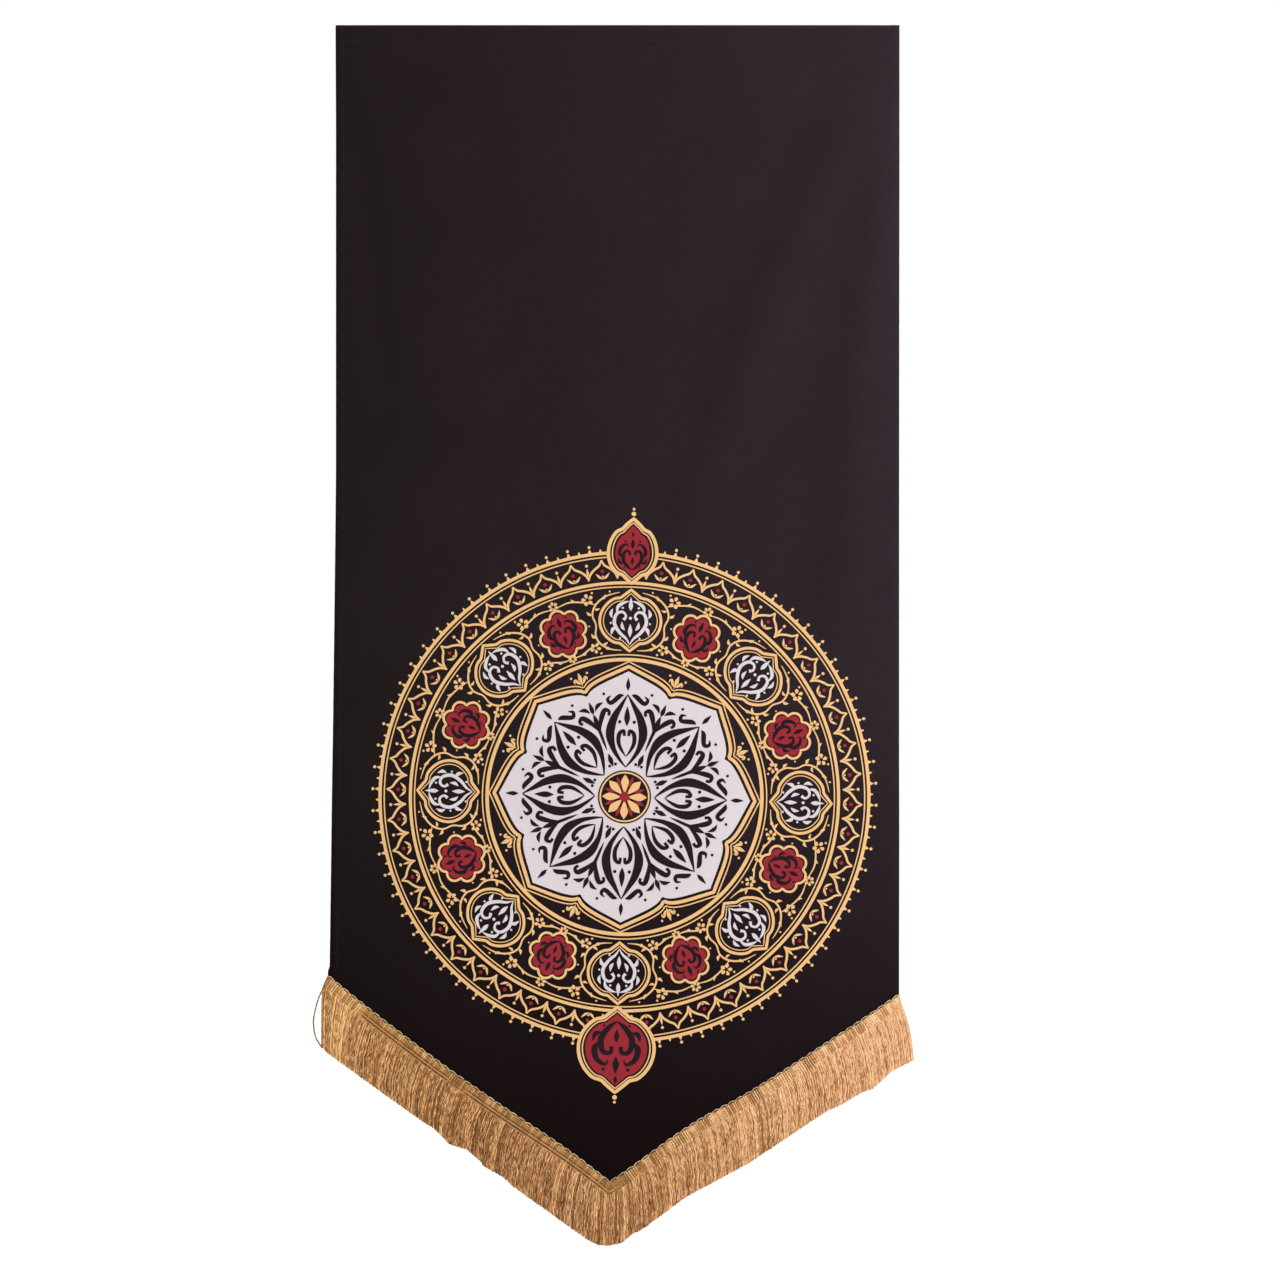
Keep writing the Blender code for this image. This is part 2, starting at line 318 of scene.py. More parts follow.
def wovenPolyester():
    # Dyed plain-weave polyester: near black with a purple cast, matt, a faint haze where light grazes it.
    material, tree, shader, place = newMaterial("dyedPlainWeavePolyester", {
        "IOR": 1.5, "Specular IOR Level": 0.02,
    })
    woven = addWeave(tree, shader, place, "#292127", 0.22)
    # Painted light and shade: the colour is lighter and greyer towards the right, where the key light's haze
    # falls, darker and warmer to the left, and darker and browner towards the tip, where the sheen from above
    # falls away.
    axes = addNode(tree, "SeparateXYZ", {"Vector": place}).outputs
    height = addNode(tree, "MapRange", {
        "interpolation_type": "SMOOTHSTEP", "Value": axes["Z"], "From Min": -1.6, "From Max": -0.75,
    })
    side = addNode(tree, "MapRange", {"Value": axes["X"], "From Min": -0.36, "From Max": 0.36})
    across = addNode(tree, "Mix", {"data_type": "RGBA", 0: side, 6: "#CFCBB2", 7: "#FFFFFF"})
    tint = addNode(tree, "Mix", {"data_type": "RGBA", 0: height, 6: "#785646", 7: across})
    dyeWithPaintedLight = addNode(tree, "Mix", {"data_type": "RGBA", "blend_type": "MULTIPLY", 0: 1, 6: woven, 7: tint})
    setUp(shader, {"Base Color": dyeWithPaintedLight})
    return material


def pigmentPrint(name, hexColour):
    # Pigment ink pressed into the weave: flat and matt, the threads still read through it.
    material, tree, shader, place = newMaterial(name, {"IOR": 1.48, "Specular IOR Level": 0.12})
    addWeave(tree, shader, place, hexColour, 0.055)
    return material


# The cloth: one sheet with its hems turned to the back

def hemStation(index, inward):
    # How far in from the fold a row or column of the hem lies, and its layer:
    # 1 behind, 0.5 on the fold and 0 in front.
    steps, bend = panel["hemSteps"], panel["hemBend"]
    if index < steps:
        return mix(inward, bend, index / (steps - 1)), 1
    return (0, 0.5) if index == steps else (bend, 0)


def buildCloth():
    margin = panel["hemSteps"] + 2
    columns = 2 * panel["columnsASide"]
    width = columns + 2 * margin - 2
    height = panel["rows"] + margin - 1
    bm = bmesh.new()
    bmesh.ops.create_grid(bm, x_segments=width, y_segments=height, size=1)
    for vert in bm.verts:
        column = round((vert.co.x + 1) / 2 * width)
        row = round((1 - vert.co.y) / 2 * height)
        inner = min(max(column - margin + 1, 0), columns) / columns
        across = tipAcross * 2 * inner if inner < 0.5 else mix(tipAcross, 1, 2 * inner - 1)
        down = max(row - margin + 1, 0) / panel["rows"]
        fromTop, topLayer = hemStation(row, panel["topHem"]) if row < margin else (0, 0)
        x, z = panelPoint(across, down)
        z = min(z, -fromTop)
        sideLayer = 0
        if column < margin:
            inward, sideLayer = hemStation(column, panel["sideHem"])
            x = leftEdge(z) + inward
        elif column > width - margin:
            inward, sideLayer = hemStation(width - column, panel["sideHem"])
            x = halfTop - inward
        # Where the two hems cross, the top one lies over the side one.
        fromSide = min(x - leftEdge(z), halfTop - x) - panel["sideHem"]
        topBack = panel["hemLayers"] + panel["crossLayers"] * smoothShare(1 - fromSide / panel["cornerEase"])
        layers = panel["hemLayers"] * sideLayer * (1 - 2 * topLayer) + topBack * topLayer
        tuck = panel["hemTuck"] * sideLayer * (topLayer == 0.5)
        vert.co = (x, drape(x, z) + layers * panel["thickness"], z - tuck)
    turnToFront(bm)
    return sheetPiece("cloth", bm, wovenPolyester(), panel["thickness"])


cloth = buildCloth()
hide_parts("cloth_panel")
print("cloth made")


# The print: a traditional round shamsa on the lower half, drawn in millimetres about its centre

medallion = {
    "centre": Vector((0.0087, -0.958)),
    "turn": radians(-1.9),  # the panel was printed a little off square
    "thickness": 0.0001,
    # In mm from here on. Each stroke lies a step above the last, so that crossings don't share a plane.
    "lifts": {"ground": 0.2, "line": 0.34, "cover": 0.46, "coverLine": 0.6, "top": 0.72},
    "strokeStep": 0.006,
    "strokeLevels": 14,
    "dotRise": 0.09,
    "finest": 0.1,  # the least half width of a stroke
    "cut": 10,  # between the cuts that let a wide field follow the folds
    "strokeSteps": 5,
    "dotSides": 12,
    "colours": {"gold": "#DFB27A", "white": "#CEC4C8", "red": "#8E242D", "black": "#1B1118"},
}
inks = {ink: {"strokes": [], "fields": [], "dots": []} for ink in medallion["colours"]}


def polar(radius, degrees):
    angle = radians(degrees)
    return radius * sin(angle), radius * cos(angle)


def polarLine(*points):
    return [(*polar(radius, degrees), half) for radius, degrees, half in points]


def placed(points, at=(0, 0), turn=0, size=1, flip=False):
    # A motif drawn about its own foot, set at a place, turned clockwise from upright.
    angle = radians(turn)
    result = []
    for point in points:
        u, v, *rest = point
        u = -u if flip else u
        x = size * (u * cos(angle) + v * sin(angle))
        y = size * (v * cos(angle) - u * sin(angle))
        result.append((at[0] + x, at[1] + y, *(half * size for half in rest)))
    return result


def strokes(ink, *lines, lift="line"):
    # Brush strokes: each point is its place and the stroke's half width there.
    return [(ink, "strokes", lift, line) for line in lines]


def dots(ink, *spots, lift="line"):
    return [(ink, "dots", lift, [spot]) for spot in spots]


def placeAll(motif, at=(0, 0), turn=0, size=1, flip=False):
    return [(ink, kind, lift, placed(points, at, turn, size, flip)) for ink, kind, lift, points in motif]


def spread(motif, count, first=0, mirrored=False):
    # The same motif all round the centre, with its mirror image beside it where that is asked for.
    for k in range(count):
        turn = first + 360 * k / count
        for flip in ((False, True) if mirrored else (False,)):
            for ink, kind, lift, points in placeAll(motif, turn=turn, flip=flip):
                inks[ink][kind].append((lift, points))


def outline(radiusAt, steps):
    return [polar(radiusAt(360 * i / steps), 360 * i / steps) for i in range(steps)]


def ring(ink, radiusAt, half, lift="line", steps=360, at=(0, 0), turn=0):
    line = [(u, v, half) for u, v in outline(radiusAt, steps)]
    inks[ink]["strokes"].append((lift, placed(line, at, turn) + ["closed"]))


def goldCircles(*sizes):
    for radius, half in sizes:
        ring("gold", lambda d: radius, half)


def field(ink, radiusAt, lift="ground", steps=360, at=(0, 0), turn=0):
    inks[ink]["fields"].append((lift, placed(outline(radiusAt, steps), at, turn)))


# Small motifs, in mm: a flower about its heart, and a leaf that grows upwards from its foot

def flower(petals, radius):
    petal = [(0, 0.26, 0.06), (0, 0.55, 0.25), (0, 0.82, 0.27), (0, 1, 0.05)]
    around = [placed(petal, turn=360 * k / petals, size=radius) for k in range(petals)]
    return strokes("gold", *around) + dots("black", (0, 0, 0.24 * radius))


def leaf(at, turn, length, half):
    bend = 0.14 * length
    shape = [(0, 0, 0.12 * half), (bend, 0.38 * length, half), (bend, 0.66 * length, 0.72 * half),
             (0, length, 0.08 * half)]
    return placed(shape, at, turn, flip=turn < 0)


# Where the off-white middle ends: eight ogee lobes, pointed outwards, with crisp valleys between

lobes = {"valley": 130, "peak": 156, "count": 8}


def lobeRadius(degrees, grow=0):
    share = abs((degrees / (360 / lobes["count"]) + 0.5) % 1 - 0.5) * 2
    swell = 0.42 * (1 - share) ** 3 + 0.58 * sqrt(max(1 - share * share, 0))
    return lobes["valley"] + grow + (lobes["peak"] - lobes["valley"]) * swell


def shieldRadius(degrees, wide, high, foot):
    # A cartouche about its own middle: an ogee point above and below, full at its sides.
    angle = radians(degrees)
    reach = high if cos(angle) > 0 else foot
    side = abs(sin(angle))
    body = 1 / sqrt((side / wide) ** 2 + (cos(angle) / (0.84 * reach)) ** 2)
    point = 0.16 * reach * max(1 - side / 0.34, 0) ** 1.7
    waist = 0.045 * reach * exp(-((side - 0.42) / 0.12) ** 2)
    return body + point - waist


def roundelRadius(degrees, radius, scallops=8, depth=0.14):
    bulge = abs(cos(radians(degrees * scallops / 2))) ** 0.7
    return radius * (1 - depth + 1.6 * depth * bulge)


def drawMiddle():
    field("white", lobeRadius)
    ring("gold", lambda d: lobeRadius(d, 6), 2.1)
    ring("gold", lambda d: lobeRadius(d, 12), 0.8)
    field("black", lambda d: 33, "cover", 96)
    ring("gold", lambda d: 30.2, 1, "coverLine", 96)
    spread(strokes("gold", [(0, 6, 1), (0, 13, 3.6), (0, 20, 4.6), (0, 27.4, 0.4)], lift="coverLine"), 8)
    spread(strokes("red", [(0, 13, 0.4), (0, 20, 2.2), (0, 26.5, 0.3)], lift="top"), 8, first=22.5)
    spread(dots("red", (0, 0, 6.4), lift="top"), 1)
    # Bold split leaves in black, one half of a lobe at a time.
    spread(strokes(
        "black",
        [(0, 37, 0.6), (7.5, 46, 1.8), (16, 60, 3.2), (20.5, 78, 5.4), (16.5, 97, 4.6), (8, 113, 2.6),
         (0, 127, 0.5)],
        [(0, 50, 0.4), (5, 57, 1.6), (9.6, 67, 2.5), (9, 78, 2.6), (3.6, 82, 2), (2.8, 75.5, 1.8)],
        [(5, 126, 0.5), (10.5, 124.5, 2.9), (20.5, 116, 2.6), (25, 120.5, 2), (21, 125, 0.5)],
    ) + dots("black", (12.6, 40.5, 1.9), (30, 127, 1.8), (9, 93, 2.1)), 8, mirrored=True)
    # The lobe's spine.
    spread(strokes(
        "black", [(0, 88, 0.4), (0, 96, 3.4), (0, 103, 3), (0, 112, 0.3)],
        [(0, 132, 0.3), (0, 138.5, 2.6), (0, 147.5, 0.3)],
    ), 8)
    # A palmette on each side of the valley between two lobes.
    spread(strokes(
        "black",
        [(0.6, 87, 0.6), (4.4, 96, 2.2), (9.4, 104, 3.2), (15, 109.5, 2.8), (19.4, 106, 2), (17, 101.5, 1.8)],
        [(3.4, 112, 0.3), (8.6, 117.6, 2.5), (16, 119, 0.3)],
    ), 8, first=22.5, mirrored=True)
    # The valley's own buds, and a gold trefoil just past the middle's edge.
    blade = [(0, 3, 0.5), (3.4, 5, 1.5), (6.6, 9.5, 1.9), (8.6, 8.2, 1.2), (8.4, 5.6, 0.3)]
    bud = [(0, 0, 0.3), (0, 5, 1), (0, 9, 2.6), (0, 13, 2), (0, 18, 0.15)]
    trefoil = placeAll(strokes("gold", bud, blade, placed(blade, flip=True)), (0, 147), size=0.95)
    spread(strokes(
        "black", [(0, 40, 0.3), (0, 49, 3), (0, 57, 0.3)],
        [(0, 62, 0.3), (0, 73, 1.6), (0, 86, 2), (0, 96, 3.2), (0, 103, 2.4), (0, 109, 0.3)],
        [(0, 109, 0.3), (0, 115, 2.8), (0, 125, 0.3)],
    ) + trefoil + dots("gold", (10.5, 160.5, 1.5), (-10.5, 160.5, 1.5)), 8, first=22.5)


def cartoucheMotif():
    half = strokes(
        "white",
        [(0, -31, 0.4), (5, -23, 1.5), (14, -15, 2.1), (21, -3, 2.3), (18.5, 9, 2), (10.5, 12, 1.7),
         (6, 6.5, 1.5), (9, 1.5, 2.1)],
        [(18, -8, 0.5), (23, -11.5, 2.4), (24.5, -18.5, 0.3)],
        [(18, 10, 0.6), (17, 18.6, 2.1), (9.4, 24.2, 1.8), (1.8, 26.4, 0.3)],
        [(7, -12, 0.4), (10.5, -7.5, 2.2), (11, -1, 0.3)],
        [(24, 4, 0.3), (26, 9.5, 2.2), (23.5, 16, 0.3)],
    ) + dots("white", (12.8, -22.6, 1.4), (25.8, -3, 1.4), (10.6, 17.4, 1.5))
    spine = strokes(
        "white", [(0, 14, 0.3), (0, 20, 2.8), (0, 31.5, 0.25)], [(0, -21, 0.3), (0, -13, 2.8), (0, -4, 0.3)],
    ) + dots("white", (0, 4, 2))
    return half + placeAll(half, flip=True) + spine


def roundelMotif(lift):
    half = strokes(
        "black",
        [(0, -19.5, 0.5), (6.5, -14.5, 2), (12, -6, 2.4), (10.5, 3.5, 2), (4.6, 5, 1.5), (3.6, 0, 1.7)],
        [(11.5, -4, 0.5), (16.8, 1.5, 2.4), (15, 10, 2), (8.5, 14, 1.2), (6, 10.5, 0.4)],
        [(12, -11, 0.4), (16.6, -9.5, 1.9), (18.5, -4, 0.3)],
        lift=lift,
    ) + dots("black", (9.6, 18, 1.3), (9.9, -16.2, 1), lift=lift)
    spine = strokes(
        "black", [(0, 8, 0.3), (0, 14, 2.6), (0, 21, 0.3)], [(0, -13, 0.3), (0, -8, 2), (0, -3, 0.3)],
        lift=lift,
    )
    return half + placeAll(half, flip=True) + spine


def drawBand():
    def shield(inset):
        return lambda d: shieldRadius(d, 38, 39, 37) - inset
    goldCircles((170.5, 2.2), (176.4, 0.8), (260.5, 0.8), (265.6, 1.9))
    for k in range(8):
        turn = 45 * k
        for inset, half in ((0, 1.7), (4.6, 0.6)):
            ring("gold", shield(inset), half, "line", 90, polar(218, turn), turn)
        turn += 22.5
        field("red", lambda d: roundelRadius(d, 24), "ground", 96, polar(216, turn), turn)
        ring("gold", lambda d: roundelRadius(d, 27.4), 1.5, "line", 90, polar(216, turn), turn)
    spread(placeAll(cartoucheMotif(), (0, 218), size=0.94), 8)
    spread(placeAll(roundelMotif("line"), (0, 216)), 8, first=22.5)
    # Gold vines with flowers fill the ground between.
    vines = strokes(
        "gold",
        polarLine((182, 3, 0.4), (184.5, 7.5, 1), (193, 11, 1.2), (204, 12, 1.1), (216, 11.3, 1),
                  (229, 11.9, 1.1), (241, 10.4, 1.2), (250, 7.2, 1), (254, 3.2, 0.4)),
        polarLine((193, 11, 0.5), (188.5, 15, 1), (183.5, 18.5, 1), (183, 22, 0.5)),
        polarLine((241, 10.4, 0.5), (246.5, 14, 1), (250.5, 18, 1), (248.5, 22, 0.5)),
    )
    # Each leaf's radius and angle round the centre, then its own turn, length and half width.
    leaves = [
        (184.5, 7.2, 62, 8.5, 1.9), (200, 12, 48, 8, 1.8), (229, 12, 60, 8, 1.8), (247, 8.6, -38, 8, 1.8),
        (249, 16, 62, 7, 1.6), (186, 16.6, 130, 7, 1.6), (191, 10, -60, 7, 1.5), (236, 11, -80, 7, 1.5),
    ]
    vines += strokes("gold", *(leaf(polar(radius, degrees), *rest) for radius, degrees, *rest in leaves))
    vines += dots("gold", *polarLine((180.5, 11, 1.4), (256, 11, 1.4), (255.5, 6, 1.2), (216, 13.6, 1.1)))
    vines += placeAll(flower(5, 7.6), polar(248.5, 12.6), 20) + placeAll(flower(5, 6.8), polar(188, 12.9), 50)
    spread(vines, 8, mirrored=True)
    spread(placeAll(flower(6, 6.4), (0, 251.5)) + placeAll(flower(6, 5.4), (0, 182.6)), 8, first=22.5)


def drawRim():
    arches, beads = 48, 72
    spread(strokes(
        "gold",
        [(0, 295, 0.9), (3.2, 288.5, 1.3), (9.5, 284, 1.4), (15.4, 278, 1.4), (18.1, 270.5, 1)],
        [(0, 271.5, 0.3), (4.2, 274, 1.5), (8.4, 278.5, 0.3)],
    ), arches, mirrored=True)
    spread(dots("red", (0, 281, 2.3)) + dots("gold", (0, 274.5, 1.3)), arches)
    drop = strokes("gold", [(0, 277, 0.3), (0, 281, 1.5), (0, 286.5, 0.3)])
    spread(dots("gold", (0, 290, 1.9)) + drop, arches, first=180 / arches)
    goldCircles((298, 0.8), (303.2, 2))
    bead = strokes("gold", [(0, 304, 2.6), (0, 307.2, 1.5), (0, 309.4, 0.3)]) + dots("gold", (0, 312.3, 1.9))
    spread(bead, beads)
    spread(strokes("gold", [(0, 304, 1.9), (0, 307.2, 1), (0, 308.6, 0.2)]), beads, first=180 / beads)


def drawPendant(centre, turn, wide, high, foot):
    # A red cartouche that breaks over the rim, pointed away from the middle.
    def shape(grow):
        return lambda d: shieldRadius(d, wide + grow, high + grow, foot + grow)
    at = polar(centre, turn)
    field("black", shape(7), "cover", 120, at, turn)
    field("red", shape(-3.6), "coverLine", 120, at, turn)
    for grow, half in ((5, 2.1), (0, 0.8)):
        ring("gold", shape(grow), half, "top", 120, at, turn)
    size = 0.91 * wide / 24
    motif = placeAll(roundelMotif("top"), (0, -2), size=size)
    motif += placeAll(strokes("black", [(0, 22, 0.3), (0, 24.8, 1.5), (0, 28, 0.2)], lift="top"), size=size)
    motif += dots("gold", (0, high + 11, 2.9), (0, high + 17, 1.8), lift="top")
    spread(placeAll(motif, (0, centre)), 1, first=turn)


def onCloth(u, v, lift):
    turn, centre = medallion["turn"], medallion["centre"]
    x = centre.x + (u * cos(turn) - v * sin(turn)) / 1000
    z = centre.y + (u * sin(turn) + v * cos(turn)) / 1000
    return x, drape(x, z) - lift / 1000, z


def inkPiece(ink, nib):
    # Ribbons, fields and dots of one colour, laid on the drape and given the ink's thickness.
    lifts, cut = medallion["lifts"], medallion["cut"]
    bm = bmesh.new()
    for lift in lifts:
        fields = [points for level, points in inks[ink]["fields"] if level == lift]
        if fields:
            curve = newCurve(ink + "Fields", "2D")
            curve.fill_mode = "FRONT"
            for points in fields:
                addSpline(curve, [(u, v, 0) for u, v in points], closed=True)
            mesh = meshFromCurve(ink + "Fields", curve)
            mesh.transform(Matrix.Translation((0, 0, lifts[lift])))
            bm.from_mesh(mesh)
            bpy.data.meshes.remove(mesh)
    reach = ceil(max((vert.co.xy.length for vert in bm.verts), default=0) / cut)
    for index in range(-reach, reach + 1):
        for way in (Vector((1, 0, 0)), Vector((0, 1, 0))):
            geom = bm.verts[:] + bm.edges[:] + bm.faces[:]
            bmesh.ops.bisect_plane(bm, geom=geom, plane_co=way * index * cut, plane_no=way, dist=1e-5)
    curve = newCurve(ink + "Strokes")
    curve.twist_mode = "Z_UP"
    curve.bevel_mode = "OBJECT"
    curve.bevel_object = nib
    for index, (lift, points) in enumerate(inks[ink]["strokes"]):
        closed = points[-1] == "closed"
        line = points[:-1] if closed else smoothLine(points, medallion["strokeSteps"])
        height = lifts[lift] + medallion["strokeStep"] * (index % medallion["strokeLevels"])
        radii = [max(half, medallion["finest"]) for _, _, half in line]
        addSpline(curve, [(u, v, height) for u, v, _ in line], radii, closed)
    mesh = meshFromCurve(ink + "Strokes", curve)
    bm.from_mesh(mesh)
    bpy.data.meshes.remove(mesh)
    for lift, ((u, v, radius),) in inks[ink]["dots"]:
        at = Matrix.Translation((u, v, lifts[lift] + medallion["dotRise"]))
        bmesh.ops.create_circle(bm, cap_ends=True, segments=medallion["dotSides"], radius=radius, matrix=at)
    for vert in bm.verts:
        vert.co = onCloth(*vert.co)
    bm.normal_update()
    backwards = [face for face in bm.faces if face.normal.y > 0]
    bmesh.ops.reverse_faces(bm, faces=backwards)
    for edge in bm.edges:
        edge.smooth = not edge.is_boundary
    material = pigmentPrint(ink + "PigmentPrint", medallion["colours"][ink])
    return sheetPiece("print_" + ink, bm, material, medallion["thickness"])


def buildPrint():
    drawMiddle()
    drawBand()
    drawRim()
    drawPendant(302, 0, 25, 38, 32)
    drawPendant(312, 180, 42, 50, 46)
    line = newCurve("nib")
    addSpline(line, [(-1, 0, 0), (1, 0, 0)])
    nib = addObject("nib", line)
    pieces = [inkPiece(ink, nib) for ink in inks]
    bpy.data.objects.remove(nib)
    bpy.data.curves.remove(line)
    return pieces


printPieces = buildPrint()
print("print made")


# The fringe trim: a woven heading along the point, and its skirt of hanging yarn

trim = {
    "gap": 0.0003,
    "width": 0.0175,
    "endCuts": (0.004, 0.006),
    "starts": 0.07,  # the woven band's upper edge, as a share of the width; the picot fills the rest
    "wall": 0.0006,
    "thickness": 0.0011,
    "edgeThickness": 0.45,  # of the thickness, by share
    "edgePower": 6,
    "crown": 0.0004,
    "ribs": 140,  # on each limb: 3 mm apart, coarser than the real 1.8 mm so that they show
    "ribSteps": 6,
    "acrossSteps": 14,
    "ribRelief": 0.001,
    "ribPower": 0.6,  # below 1 for ribs that are wider than the valleys between
    "ribWaves": ((72, 0.4), (31, 0.2)),  # how often and how much the ribs' relief swells along the trim
    "ribLevels": (0.15, 0.75),  # the least relief, and the middle one, by share
    "ribTones": 0.42,  # how far one rib's tone may lie above another's
    "paintedRibLight": 0.14,  # painted light and shade: the ribs are painted lighter where they stand out, and darker in valleys and grooves, where shade falls
    "paintedValleyShade": 0.75,
    "paintedGrooveShade": 0.5,
    "grooves": (0.5, 0.71, 0.93),
    "grooveDepth": 0.0008,
    "grooveWidth": 0.055,
}
cords = {
    "across": (0.6, 0.82), "ply": 0.00042, "plump": 1.15, "pitch": 0.004, "stepsATurn": 6, "rise": 0.0018,
    "sunk": 0.0009, "tones": (0.26, 0.42, 0.22, 0.44),
}
picot = {
    "scallops": 37, "inside": 0.0012, "reach": 0.0018, "roundness": 0.8, "ply": 0.00034, "plump": 1.2,
    "pitch": 0.0052, "stepsATurn": 7, "rise": 0.0009, "tones": (0.25, 0.58),
}

# How much lighter the yarn is along the trim, by share: painted light, lighter towards the right, where the
# key light falls, and near the left end, with a painted edge shadow on the outermost yarns at the left.
paintedLimbLight = [
    (0, -0.05), (0.008, 0.05), (0.025, 0.33), (0.09, 0.3), (0.16, 0.17), (0.6, 0.06), (0.95, 0.09),
    (1.1, 0.18), (1.3, 0.29), (1.6, 0.37), (2, 0.42),
]
# How far the yarns' tones differ, then how plainly the cords and the ribs stand out, in relief and in their
# painted light and shade.
toneSpread = [(1.05, 0.38), (1.35, 0.3), (1.7, 0.3), (2, 0.22)]
cordShow = [
    (0, 0.1), (0.1, 0.2), (0.18, 1), (0.41, 1), (0.44, 0.35), (0.49, 0.35), (0.52, 1), (0.94, 1),
    (0.99, 0.35), (1.05, 0.2), (2, 0.1),
]
ribShow = [
    (0, 0.4), (0.05, 0.6), (0.41, 0.55), (0.44, 0.9), (0.49, 0.9), (0.53, 0.5), (0.95, 0.5), (1.05, 0.9),
    (1.75, 1), (1.9, 0.6), (2, 0.4),
]


def outwards(start, end):
    way = (end - start).normalized()
    return Vector((way.y, -way.x))


def trimLines():
    upper = panel["foot"]
    first, second = outwards(*upper[:2]), outwards(*upper[1:])
    ways = [first, (first + second) / (1 + first.dot(second)), second]
    lower = [point + way * trim["width"] for point, way in zip(upper, ways)]
    lower[0] += (upper[1] - upper[0]).normalized() * trim["endCuts"][0]
    lower[2] -= (upper[2] - upper[1]).normalized() * trim["endCuts"][1]
    return upper, lower


trimUpper, trimLower = trimLines()
limbLength = (trimUpper[1] - trimUpper[0]).length


def trimPlace(share, across):
    # A plane point: share runs 0 to 2 with the tip at 1, and across 0 to 1 down the heading.
    limb = min(max(int(share), 0), 1)
    upper = trimUpper[limb].lerp(trimUpper[limb + 1], share - limb)
    lower = trimLower[limb].lerp(trimLower[limb + 1], share - limb)
    return upper + (lower - upper) * across - Vector((0, sagAt(share)))


def ribPhase(share, across):
    # Ribs lie at right angles to their limb, also by the slanted ends and the mitre.
    limb = min(int(share), 1)
    way = (trimUpper[limb + 1] - trimUpper[limb]).normalized()
    reach = trimPlace(share, across) + Vector((0, sagAt(share))) - trimUpper[limb]
    return (limb + max(reach.dot(way), 0) / limbLength) * trim["ribs"]


def onTrim(share, across, out):
    spot = trimPlace(share, across)
    return Vector((spot.x, drape(spot.x, spot.y) - trim["gap"] - out, spot.y))


def sweep(name, lines, radius, sides, tip=1):
    # One mesh of round yarns: sides is 4 or 6, and tip is the last point's share of the radius.
    curve = newCurve(name)
    curve.bevel_depth = radius
    curve.bevel_resolution = sides // 2 - 2
    curve.use_fill_caps = True
    for line in lines:
        addSpline(curve, line, [1] * (len(line) - 1) + [tip])
    mesh = meshFromCurve(name, curve)
    mesh.shade_smooth()
    return mesh


def yarnPiece(name, lines, radius, sides, tones, material, tip=1, change=lambda run: 0):
    # Yarns with a tone each, which may change along them. The caps come first, last yarn first.
    mesh = sweep(name, lines, radius, sides, tip)
    caps = 2 * sides
    rings = (len(mesh.vertices) // len(tones) - caps) // sides
    changes = [change(ring / (rings - 1)) for ring in range(rings) for _ in range(sides)]
    values = [tone for tone in reversed(tones) for _ in range(caps)]
    values += [tone + extra for tone in tones for extra in changes]
    mesh.attributes.new("tone", "FLOAT", "POINT")
    mesh.attributes["tone"].data.foreach_set("value", values)
    return newPiece(name, mesh, material)


def mottle(tree, place, scale, detail, around, amount):
    # Noise that lies up to an amount above or below a level.
    fine = addNode(tree, "Mapping", {"Vector": place, "Scale": scale})
    noise = addNode(tree, "TexNoise", {"Vector": fine, "Scale": 1, "Detail": detail, "Roughness": 0.6})
    return noise, addNode(tree, "MapRange", {
        "Value": noise, "From Min": 0.25, "From Max": 0.75,
        "To Min": around - amount, "To Max": around + amount,
    })


def rayon(name, dark, middle, light, roughness, streak, contrast, patches):
    # Viscose rayon yarn: lustrous along the thread, and each yarn a little lighter or darker.
    material, tree, shader, place = newMaterial(name, {
        "Roughness": roughness, "IOR": 1.5, "Specular IOR Level": 0.45,
        "Sheen Weight": 0.12, "Sheen Roughness": 0.3, "Sheen Tint": "#FFE9C8",
    })
    tone = addNode(tree, "Attribute", {"attribute_name": "tone"}).outputs["Fac"]
    fibres, fine = mottle(tree, place, streak, 4, 0.275, contrast)
    patch = mottle(tree, place, (130, 130, 70), 2, 0, patches)[1]
    yarn = addNode(tree, "Math", {"operation": "ADD", 0: fine, 1: tone})
    both = addNode(tree, "Math", {"operation": "ADD", 0: yarn, 1: patch})
    ramp = addNode(tree, "ValToRGB", {"Fac": both})
    stops = ramp.color_ramp.elements
    stops[0].position, stops[0].color = 0.22, toLinear(dark)
    stops[1].position, stops[1].color = 1, toLinear(light)
    stops.new(0.68).color = toLinear(middle)
    # Yellower at the left end and pinker at the right, as the two limbs fade.
    side = addNode(tree, "SeparateXYZ", {"Vector": place}).outputs["X"]
    fade = addNode(tree, "MapRange", {"Value": side, "From Min": -0.37, "From Max": 0.37})
    tint = addNode(tree, "Mix", {"data_type": "RGBA", 0: fade, 6: "#FFF1D2", 7: "#FFEDE6"})
    colour = addNode(tree, "Mix", {"data_type": "RGBA", "blend_type": "MULTIPLY", 0: 1, 6: ramp, 7: tint})
    bump = addNode(tree, "Bump", {"Strength": 0.5, "Distance": 0.0002, "Height": fibres})
    setUp(shader, {"Base Color": colour, "Normal": bump})
    return material


